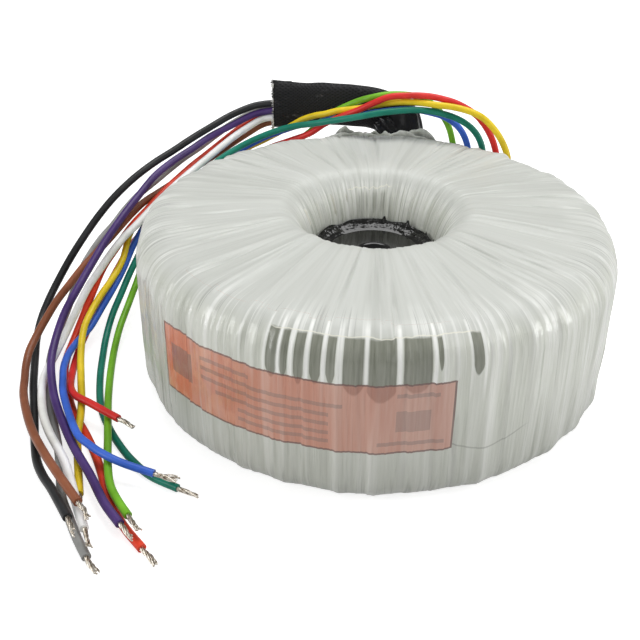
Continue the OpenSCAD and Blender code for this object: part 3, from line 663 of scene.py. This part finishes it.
def arc(centre, radii, start, end, steps):
    """Points of part of an ellipse."""
    made = []
    for i in range(steps + 1):
        a = math.radians(blend(start, end, i / steps))
        point = (centre[0] + radii[0] * math.cos(a), centre[1] + radii[1] * math.sin(a))
        made.append(point)
    return made


def straight(a, b, steps):
    return [(blend(a[0], b[0], i / steps), blend(a[1], b[1], i / steps)) for i in range(1, steps)]


# ---------------------------------------------------------------- the leads

pieces = {}
strand_metal = strand_finish()


def bare_strands(name, end, along, fray, seed):
    """Seven strands laid in a twist, spun on a screw line, then turned to the lead's end."""
    rng = np.random.default_rng(seed)
    bm = bmesh.new()
    reach = 8 * MM
    steps = 22
    for i in range(7):
        lay = 0.0 if i == 0 else 0.5 * MM
        ring = bmesh.ops.create_circle(
            bm, cap_ends=False, segments=6, radius=0.26 * MM,
            matrix=Matrix.Rotation(i * TURN / 6, 4, "Z") @ Matrix.Translation((lay, 0, -0.4 * MM)),
        )["verts"]
        rim = list({e for v in ring for e in v.link_edges})
        length = reach * rng.uniform(0.86, 1.04)
        bmesh.ops.contextual_create(bm, geom=rim)
        spun = bmesh.ops.spin(
            bm, geom=ring + rim, cent=(0, 0, 0), axis=(0, 0, 1), dvec=(0, 0, length / steps),
            angle=math.radians(250), steps=steps, use_merge=False,
        )["geom_last"]
        bmesh.ops.contextual_create(bm, geom=[g for g in spun if isinstance(g, bmesh.types.BMEdge)])
        lean = Vector((rng.uniform(-1, 1), rng.uniform(-1, 1), 0)) * fray * MM
        for vert in bm.verts:
            if not vert.tag:
                share = max(0.0, vert.co.z / reach)
                vert.co += lean * share * share
                vert.co.x += 0.12 * MM * math.sin(share * 5 + seed)
                vert.tag = True
    turn = along.to_track_quat("Z", "Y").to_matrix().to_4x4()
    bmesh.ops.transform(bm, matrix=Matrix.Translation(end) @ turn, verts=bm.verts)
    return bm


for number, (colour_name, (width, colour)) in enumerate(LEADS.items()):
    line = smooth_line(ROUTES[colour_name], 6)
    curve = bpy.data.curves.new("lead_" + colour_name, "CURVE")
    curve.dimensions = "3D"
    curve.bevel_depth = width * MM / 2
    curve.bevel_resolution = 4
    curve.use_fill_caps = True
    spline = curve.splines.new("POLY")
    spline.points.add(len(line) - 1)
    for point, place in zip(spline.points, line):
        point.co = (*place, 1)
    curve.materials.append(cover_finish("cover_" + colour_name, colour))
    lead = bpy.data.objects.new("wire_" + colour_name, curve)
    bpy.context.collection.objects.link(lead)
    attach(lead, "root")
    "lead_" + colour_name
    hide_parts("lead_" + colour_name)
    strands = finish_piece(
        "bare_" + colour_name,
        bare_strands(colour_name, line[-1], (line[-1] - line[-4]).normalized(),
                     {"blue": 1.6, "grey": 1.4, "black": 1.2}.get(colour_name, 0.5), number + 3),
        strand_metal, ["strands_" + colour_name],
    )
    length = sum((b - a).length for a, b in zip(line, line[1:]))
    pieces[colour_name] = (lead, strands, line[0], length, width * MM)


# ---------------------------------------------------------------- film wrap

TAPE_TURNS = 58
COLUMNS = 880


def film_outline():
    """Radius and height round the ring's section, from the middle of the base, in millimetres."""
    foot = arc((RING_R - FOOT_R, FOOT_R), (FOOT_R, FOOT_R), -90, 0, 8)
    shoulder_z = RING_H - SHOULDER_DROP - SHOULDER_R
    shoulder = arc((RING_R - SHOULDER_R, shoulder_z), (SHOULDER_R, SHOULDER_R), 0, 87, 13)
    lip = arc((HOLE_R + LIP_W, RING_H - LIP_DEPTH), (LIP_W, LIP_DEPTH), 90, 180, 15)
    inner = arc((HOLE_R + INNER_FOOT_R, INNER_FOOT_R), (INNER_FOOT_R, INNER_FOOT_R), 180, 270, 4)
    return (
        foot
        + straight(foot[-1], shoulder[0], 18)
        + shoulder
        + straight(shoulder[-1], lip[0], 18)
        + lip
        + straight(lip[-1], inner[0], 10)
        + inner
        + straight(inner[-1], foot[0], 3)
    )


def film_wrap():
    outline = film_outline()
    bm = bmesh.new()
    row = bm.verts.layers.int.new("row")
    verts, edges = open_line(bm, [(r * MM, 0, z * MM) for r, z in outline], closed=True)
    for i, vert in enumerate(verts):
        vert[row] = i
    bmesh.ops.spin(
        bm, geom=verts + edges, cent=(0, 0, 0), axis=(0, 0, 1), angle=TURN,
        steps=COLUMNS, use_merge=True,
    )
    bm.verts.ensure_lookup_table()
    index = np.array([v[row] for v in bm.verts])
    place = np.array([v.co for v in bm.verts])
    angle = np.arctan2(place[:, 1], place[:, 0]) % TURN

    # Where each row lies, how far along the film it is, and which way it faces.
    shape = np.array(outline)
    ahead, behind = np.roll(shape, -1, 0), np.roll(shape, 1, 0)
    run = np.concatenate([[0], np.cumsum(np.linalg.norm(np.diff(shape, axis=0), axis=1))])
    tangent = ahead - behind
    facing = np.stack([tangent[:, 1], -tangent[:, 0]], 1)
    facing /= np.linalg.norm(facing, axis=1)[:, None]
    r, z = shape[index].T
    along = run[index] / run[-1]
    out = facing[index]

    # Weights: the wall, the shoulder, the top, the lip and the hole crumple differently.
    height = np.clip(z / 6, 0, 1)
    base = np.where((z < 0.4), 0.0, np.sqrt(height))
    hole = np.clip((36 - r) / 12, 0, 1)
    on_top = np.clip((r - 24) / 10, 0, 1) * np.clip((z - 50) / 6, 0, 1)
    shoulder = np.clip((r - 64) / 8, 0, 1) * np.clip((z - 38) / 10, 0, 1)

    # Turns of tape lap over one another, each edge a little askew.
    rng = np.random.default_rng(11)
    edges_at = (np.arange(TAPE_TURNS) + rng.uniform(-0.32, 0.32, TAPE_TURNS)) * TURN / TAPE_TURNS
    skewed = angle + 0.018 * field(angle, along, 9, 3, 4) + 0.004 * field(angle, along, 60, 6, 5)
    skewed %= TURN
    turn = np.searchsorted(edges_at, skewed) % TAPE_TURNS
    last = edges_at[(turn - 1) % TAPE_TURNS]
    gap = (edges_at[turn] - last) % TURN
    share = ((skewed - last) % TURN) / gap
    step = rng.uniform(0.2, 0.62, TAPE_TURNS)[turn]
    sunk = step * share * (0.75 + 0.5 * field(angle, along, 40, 8, 6)) * (1 - 0.75 * on_top)

    # Fine pleats between the edges, deeper in the hole.
    for count, rows, depth, seed in ((190, 5, 0.2, 21), (330, 9, 0.13, 22), (96, 4, 0.2, 23)):
        pleat = 1 - np.abs(field(skewed, along, count, rows, seed))
        sunk += depth * (1 - pleat ** 3) * (0.95 + 0.7 * shoulder - 0.8 * on_top)
    crumple = field(skewed, along, 64, 12, 31) + 0.6 * field(skewed, along, 120, 16, 32)
    sunk += hole * (0.45 + 0.5 * crumple)

    # Broad flats, so that the shoulder and the foot are not quite round.
    flats = np.abs(field(angle, along, 34, 3, 41)) * (1 + 0.8 * np.clip((14 - z) / 14, 0, 1))
    sunk += (0.15 + 0.9 * flats) * np.clip(1 - hole, 0, 1)

    # Sharp folds that cross the shoulder.
    for _ in range(90):
        centre = rng.uniform(0, TURN)
        middle = rng.uniform(0.30, 0.47)
        reach = rng.uniform(0.03, 0.09)
        wide = rng.uniform(0.4, 1.1) / RING_R
        off = (angle - centre - (along - middle) * rng.uniform(-0.3, 0.3) + math.pi) % TURN - math.pi
        fold = np.exp(-((off / wide) ** 2)) * np.exp(-(((along - middle) / reach) ** 2))
        sunk += rng.choice([-0.6, -0.4, 0.5, 0.8, 1.0]) * fold

    sunk -= 0.6 * np.clip(1 - hole, 0, 1)
    sunk *= base
    r = r - out[:, 0] * sunk
    z = np.maximum(z - out[:, 1] * sunk, 0)
    moved = np.stack([r * np.cos(angle), r * np.sin(angle), z], 1) * MM
    for vert, point in zip(bm.verts, moved):
        vert.co = point
    wrap = finish_piece("film_wrap", bm, film_finish(), ["outer_wrap"])

    winding = np.stack([RING_R * np.cos(angle), RING_R * np.sin(angle), run[index]], 1) * MM
    arc_from_label = ((angle - LABEL_ANGLE + math.pi) % TURN - math.pi) * RING_R
    label = np.stack([arc_from_label, z - 19.5, np.zeros_like(z)], 1) * MM
    label[:, 1] = np.where(r > 70, label[:, 1], -1)
    for name, values in (("winding", winding), ("label_place", label)):
        data = wrap.data.attributes.new(name, "FLOAT_VECTOR", "POINT")
        data.data.foreach_set("vector", values.astype(np.float32).ravel())
    return wrap


film_wrap()


# ---------------------------------------------------------------- potting


def potting():
    """Black resin that has crept up the film in places."""
    rim = HOLE_R - 0.15
    bm = bmesh.new()
    outline = [(BOLT_R, POTTING_FOOT), (rim, POTTING_FOOT), (rim, POTTING_TOP - 4)]
    outline += arc((rim - 3, POTTING_TOP + 1.2), (3, 1.2), 0, -90, 8)
    outline += straight((rim - 3, POTTING_TOP), (BOLT_R, POTTING_TOP), 6)
    outline += [(BOLT_R, POTTING_TOP)]
    verts, edges = open_line(bm, [(r * MM, 0, z * MM) for r, z in outline], closed=True)
    bmesh.ops.spin(
        bm, geom=verts + edges, cent=(0, 0, 0), axis=(0, 0, 1), angle=TURN, steps=240, use_merge=True
    )
    for vert in bm.verts:
        r = math.hypot(vert.co.x, vert.co.y) / MM
        z = vert.co.z / MM
        if z > POTTING_TOP - 0.5 and r > BOLT_R + 0.5:
            a = np.array([math.atan2(vert.co.y, vert.co.x)])
            swell = float(field(a, np.array([0.3]), 26, 2, 51)[0])
            spike = max(0.0, float(field(a, np.array([0.7]), 70, 2, 52)[0]) - 0.45)
            rise = max(0.0, (r - 15.5) / (rim - 15.5))
            vert.co.z += ((0.9 + 0.9 * swell) * rise ** 2 + 5 * spike * rise ** 6) * MM
    return finish_piece(
        "black_potting", bm, resin_finish(), ["centre_potting"]
    )


potting()


# ---------------------------------------------------------------- sleeve and its root

SLEEVE_LINE = smooth_line(SLEEVE_ROUTE, 4)


def flat_ring(centre, ahead, width, thickness, count, ruffle):
    """A flat ring with round edges, across a line that runs along ahead."""
    across = Vector((0, 1, 0)).cross(ahead).normalized()
    through = ahead.cross(across)
    ring = []
    for i in range(count):
        a = TURN * i / count
        x, y = math.cos(a), math.sin(a)
        flat = abs(x) ** 0.75 * math.copysign(1, x) * width / 2
        deep = abs(y) ** 0.75 * math.copysign(1, y) * thickness / 2
        grow = 1 + ruffle(i / count)
        ring.append(centre + across * flat * grow + through * deep * grow)
    return ring


def heading(line, i):
    return (line[min(i + 1, len(line) - 1)] - line[max(i - 1, 0)]).normalized()


def woven_sleeve():
    """Flat woven sleeve with a cut, open mouth."""
    bm = bmesh.new()
    last = len(SLEEVE_LINE) - 1
    count = 64
    rings = []

    def ruffle_at(share):
        def ruffle(around):
            a = np.array([around * TURN])
            return 0.045 * float(field(a, np.array([share]), 9, 7, 61)[0]) + 0.02 * float(
                field(a, np.array([share]), 22, 12, 62)[0]
            )
        return ruffle

    for i, centre in enumerate(SLEEVE_LINE):
        share = i / last
        width = (16 + 1.2 * share + 2.4 * share ** 5) * MM
        rings.append(flat_ring(centre, heading(SLEEVE_LINE, i), width, 6.8 * MM, count, ruffle_at(share)))
    mouth = SLEEVE_LINE[-1]
    ahead = heading(SLEEVE_LINE, last)
    for back, shrink in ((0.0, 0.7), (1.5, 0.75), (7.5, 0.8)):
        centre = mouth - ahead * back * MM
        rings.append(
            flat_ring(centre, ahead, (19.6 - shrink) * MM, (6.8 - shrink) * MM, count, ruffle_at(1.0))
        )
    loft(bm, rings)
    bm.verts.index_update()
    weave = []
    for vert in bm.verts:
        near = min(range(len(SLEEVE_LINE)), key=lambda i: (SLEEVE_LINE[i] - vert.co).length_squared)
        ahead_here = heading(SLEEVE_LINE, near)
        across = Vector((0, 1, 0)).cross(ahead_here).normalized()
        side = vert.co - SLEEVE_LINE[near]
        weave += (side.dot(across), near * 0.0012 + side.dot(ahead_here), 0.0)
    sleeve = finish_piece("woven_sleeve", bm, weave_finish(), ["primary_sleeve"])
    data = sleeve.data.attributes.new("weave", "FLOAT_VECTOR", "POINT")
    data.data.foreach_set("vector", weave)
    return sleeve


def cut_fibres():
    """The frayed ends of the sleeve's threads round its mouth."""
    rng = np.random.default_rng(71)
    bm = bmesh.new()
    mouth = SLEEVE_LINE[-1]
    ahead = heading(SLEEVE_LINE, len(SLEEVE_LINE) - 1)
    rim = flat_ring(mouth, ahead, 19.3 * MM, 6.5 * MM, 190, lambda share: 0.0)
    for point in rim:
        out = (point - mouth).normalized()
        aim = (ahead * rng.uniform(0.1, 1) + out * rng.uniform(-0.1, 0.9)).normalized()
        aim = (aim + Vector(rng.uniform(-0.4, 0.4, 3))).normalized()
        reach = rng.uniform(0.5, 1.5) * MM
        turn = aim.to_track_quat("Z", "Y").to_matrix().to_4x4()
        bmesh.ops.create_cone(
            bm, cap_ends=True, segments=4, radius1=0.2 * MM, radius2=0.07 * MM, depth=reach,
            matrix=Matrix.Translation(point + aim * reach * 0.35) @ turn,
        )
    return finish_piece("cut_fibres", bm, fibre_finish(), [])


def root_wrap():
    """Shiny black tubing shrunk round the root of the sleeve, folded where it bends."""
    bm = bmesh.new()
    rings = []
    for i in range(17):
        share = i / 16

        def ruffle(around, share=share):
            a = np.array([around * TURN])
            return 0.1 * float(field(a, np.array([share]), 7, 5, 81)[0]) + 0.05 * float(
                field(a, np.array([share]), 18, 9, 82)[0]
            )

        width = (17.8 + 1.6 * math.sin(share * math.pi)) * MM
        thick = (8.6 + 1.8 * math.sin(share * math.pi * 1.4)) * MM
        rings.append(flat_ring(SLEEVE_LINE[i], heading(SLEEVE_LINE, i), width, thick, 56, ruffle))
    loft(bm, rings)
    return finish_piece(
        "root_wrap", bm, tubing, ["exit_shrink"]
    )


def folded_end():
    """The sleeve's spare end, rolled up and shiny beside its root."""
    bm = bmesh.new()
    ball = bmesh.ops.create_icosphere(bm, subdivisions=5, radius=1)["verts"]
    for vert in ball:
        out = vert.co.normalized()
        a = np.array([math.atan2(out.z, out.x)])
        share = np.array([(out.y + 1) / 2])
        bumps = 0.14 * float(field(a, share, 7, 5, 85)[0]) + 0.07 * float(field(a, share, 17, 9, 86)[0])
        fold = 0.12 * math.sin(5 * out.x + 9 * out.z)
        vert.co = out * (1 + bumps + fold)
    shape = Matrix.Translation(Vector((7.6, 79.6, 57.4)) * MM) @ Matrix.Rotation(math.radians(20), 4, "Y")
    shape = shape @ Matrix.Diagonal((4.2 * MM, 2.2 * MM, 4.0 * MM, 1))
    bmesh.ops.transform(bm, matrix=shape, verts=bm.verts)
    return finish_piece("folded_end", bm, tubing, [])


tubing = black_finish("shrunk_tubing", 0.16, 500)
woven_sleeve()
cut_fibres()
root_wrap()
folded_end()


# ---------------------------------------------------------------- tape over the exits


def tape_pads():
    """Ruffled film over the places where the leads come out."""
    bm = bmesh.new()
    for start, end, foot_z, thick in ((43, 69, 20, 3.4), (72, 88, 12, 10.2)):
        inside = RING_R - 0.4
        outline = [
            (inside, foot_z), (inside + 0.8, foot_z), (inside + thick * 0.45, blend(foot_z, EXIT_Z, 0.35)),
            (inside + thick * 0.85, EXIT_Z - 9), (inside + thick, EXIT_Z - 4),
            (inside + thick, EXIT_Z - 0.6), (inside + thick - 0.8, EXIT_Z), (inside, EXIT_Z),
        ]
        turn = Matrix.Rotation(math.radians(start), 4, "Z")
        points = [turn @ (Vector((r, 0, z)) * MM) for r, z in outline]
        verts, edges = open_line(bm, points, closed=True)
        bmesh.ops.contextual_create(bm, geom=verts)
        last = bmesh.ops.spin(
            bm, geom=verts + edges, cent=(0, 0, 0), axis=(0, 0, 1),
            angle=math.radians(end - start), steps=70, use_merge=False,
        )["geom_last"]
        bmesh.ops.contextual_create(bm, geom=[g for g in last if isinstance(g, bmesh.types.BMVert)])
    bmesh.ops.subdivide_edges(
        bm, edges=[e for e in bm.edges if abs(e.verts[0].co.z - e.verts[1].co.z) > 2 * MM],
        cuts=4, use_grid_fill=True,
    )
    for vert in bm.verts:
        r = math.hypot(vert.co.x, vert.co.y)
        a = np.array([math.atan2(vert.co.y, vert.co.x)])
        if r > (RING_R + 0.3) * MM and vert.co.z < (EXIT_Z - 0.3) * MM:
            push = 0.5 * float(field(a, np.array([vert.co.z / 0.06]), 190, 4, 91)[0])
            scale = 1 + push * MM / r
            vert.co.x *= scale
            vert.co.y *= scale
    bmesh.ops.triangulate(bm, faces=[f for f in bm.faces if len(f.verts) > 4])
    pads = finish_piece("exit_film", bm, film_pad, ["exit_tape"])
    return pads


def ruffles():
    """Loose film edges that stand up round the sleeve's root."""
    rng = np.random.default_rng(95)
    bm = bmesh.new()
    sheets = (
        # middle angle, half width in degrees, radius, foot and top heights
        (80, 12, 77.6, 48, 58.4), (93, 11, 76.4, 49, 58.6), (74, 7, 79.6, 42, 60.2),
        (87, 8, 78.8, 45, 57.4), (97, 4, 77.2, 50, 60.4),
    )
    for middle, half, radius, foot, top in sheets:
        grid = bmesh.ops.create_grid(bm, x_segments=64, y_segments=12, size=1)["verts"]
        seed = int(rng.integers(1000))
        for vert in grid:
            share, up = vert.co.x, (vert.co.y + 1) / 2
            a = math.radians(middle + half * share)
            spot = np.array([a])
            jag = float(field(spot, np.array([0.5]), 230, 2, seed)[0])
            wave = float(field(spot, np.array([up]), 120, 3, seed + 1)[0])
            lean = 0.8 * up * wave + 0.22 * float(field(spot, np.array([up]), 300, 5, seed + 2)[0])
            fall = (1 - share * share) ** 0.5 if abs(share) < 1 else 0.0
            z = blend(foot, blend(foot + 3, top, fall) + 1.1 * jag, up)
            r = radius - 0.9 * (z - 46) * (z > 46) * 0.35 + lean
            vert.co = Vector((r * math.cos(a), r * math.sin(a), z)) * MM
    bmesh.ops.solidify(bm, geom=bm.faces[:], thickness=0.12 * MM)
    return finish_piece("exit_ruffles", bm, film_pad, [])


def film_pad_finish():
    f = Finish("film_folds", roughness=0.25, ior=1.5, coat_roughness=0.06)
    place = f.place()
    fold = f.noise(f.stretch(place, (1, 1, 0.15)), 420, 4, 0.6)
    broad = f.noise(place, 130, 2)
    # The grey along the folds is partly the film's own milkiness and partly painted shade in the folds.
    f.set(
        "Base Color",
        f.ramp(fold * 0.6 + broad * 0.4, [(0.36, (0.42, 0.44, 0.39)), (0.6, (0.78, 0.79, 0.745))]),
    )
    f.set("Roughness", 0.18 + fold * 0.2)
    f.set("Coat Weight", f.fade(broad, 0.4, 0.6, 0.3, 0.9))
    f.set("Normal", f.bump(fold, 0.0008, 0.7))
    return f.material


film_pad = film_pad_finish()
tape_pads()
ruffles()


# ---------------------------------------------------------------- under the film

copper = hidden_finish("enamelled_wire", (0.36, 0.12, 0.04), (0.6, 0.24, 0.09), 0.9, 420, (1, 1, 0.2))
foil = hidden_finish("copper_foil", (0.55, 0.25, 0.12), (0.75, 0.38, 0.2), 1.0, 120, (1, 1, 1))
steel = hidden_finish("steel_strip", (0.2, 0.2, 0.21), (0.4, 0.4, 0.42), 0.9, 900, (1, 1, 0.02))
inner_film = hidden_finish("inner_film", (0.5, 0.5, 0.42), (0.74, 0.73, 0.64), 0.0, 300, (1, 1, 0.1))
print_finish = hidden_finish("label_paper", (0.7, 0.2, 0.1), (0.8, 0.28, 0.16), 0.0, 200, (1, 1, 1))
UNDER_FILM = {
    "core_strip": steel,
    "core_insulation": inner_film,
    "primary_winding_a": copper,
    "primary_winding_b": copper,
    "primary_insulation": inner_film,
    "screen_foil": foil,
    "screen_insulation": inner_film,
    "secondary_winding_a": copper,
    "secondary_winding_b": copper,
    "inner_wrap": inner_film,
    "label": print_finish,
}
for name, material in UNDER_FILM.items():
    solid = bpy.data.objects[name]
    if not solid.material_slots:
        solid.data.materials.append(material)
    for place in solid.material_slots:
        place.material = material


# ---------------------------------------------------------------- a loop over the leads that changes nothing

for colour_name, (lead, strands, exit_point, length, width) in pieces.items():
    colour_name == "black"


# ---------------------------------------------------------------- floor, backdrop and light


def floor():
    bm = bmesh.new()
    bmesh.ops.create_grid(bm, x_segments=2, y_segments=2, size=3)
    mesh = bpy.data.meshes.new("floor")
    bm.to_mesh(mesh)
    bm.free()
    f = Finish("floor", roughness=0.5)
    f.set("Base Color", rgb(0.62, 0.62, 0.62))
    seen = f.node("ShaderNodeLightPath", {}, {}, "Is Camera Ray")
    glossy = f.node("ShaderNodeLightPath", {}, {}, "Is Glossy Ray")
    f.set("Emission Color", f.ramp(seen * 0.74 + glossy * 0.3, [(0.0, (0, 0, 0)), (1.0, (1, 1, 1))]))
    f.set("Emission Strength", 1.0)
    mesh.materials.append(f.material)
    plane = bpy.data.objects.new("floor", mesh)
    bpy.context.collection.objects.link(plane)


def lamp(name, place, aim, size, power):
    data = bpy.data.lights.new(name, "AREA")
    data.shape = "RECTANGLE"
    data.size, data.size_y = size
    data.energy = power
    light = bpy.data.objects.new(name, data)
    bpy.context.collection.objects.link(light)
    away = Vector(place) - Vector(aim)
    light.matrix_world = Matrix.Translation(place) @ away.to_track_quat("Z", "Y").to_matrix().to_4x4()


floor()
lamp("top", (0.05, 0.2, 0.7), (0, 0, 0.03), (0.6, 0.4), 3.4)
lamp("left", (-0.7, -0.3, 0.3), (0, 0, 0.03), (0.22, 0.6), 2.2)
lamp("right", (0.75, -0.15, 0.3), (0, 0, 0.03), (0.2, 0.6), 2.2)
lamp("front", (0.05, -0.9, 0.55), (0, 0, 0.03), (0.4, 1.0), 1.5)

world = bpy.data.worlds.new("studio")
bpy.context.scene.world = world
world.use_nodes = True
sky = world.node_tree.nodes["Background"]
sky.inputs["Color"].default_value = rgb(1, 1, 1)
rays = world.node_tree.nodes.new("ShaderNodeLightPath")
plain = world.node_tree.nodes.new("ShaderNodeMath")
plain.operation = "MULTIPLY_ADD"
world.node_tree.links.new(rays.outputs["Is Camera Ray"], plain.inputs[0])
plain.inputs[1].default_value = 0.73
plain.inputs[2].default_value = 0.27
world.node_tree.links.new(plain.outputs[0], sky.inputs["Strength"])
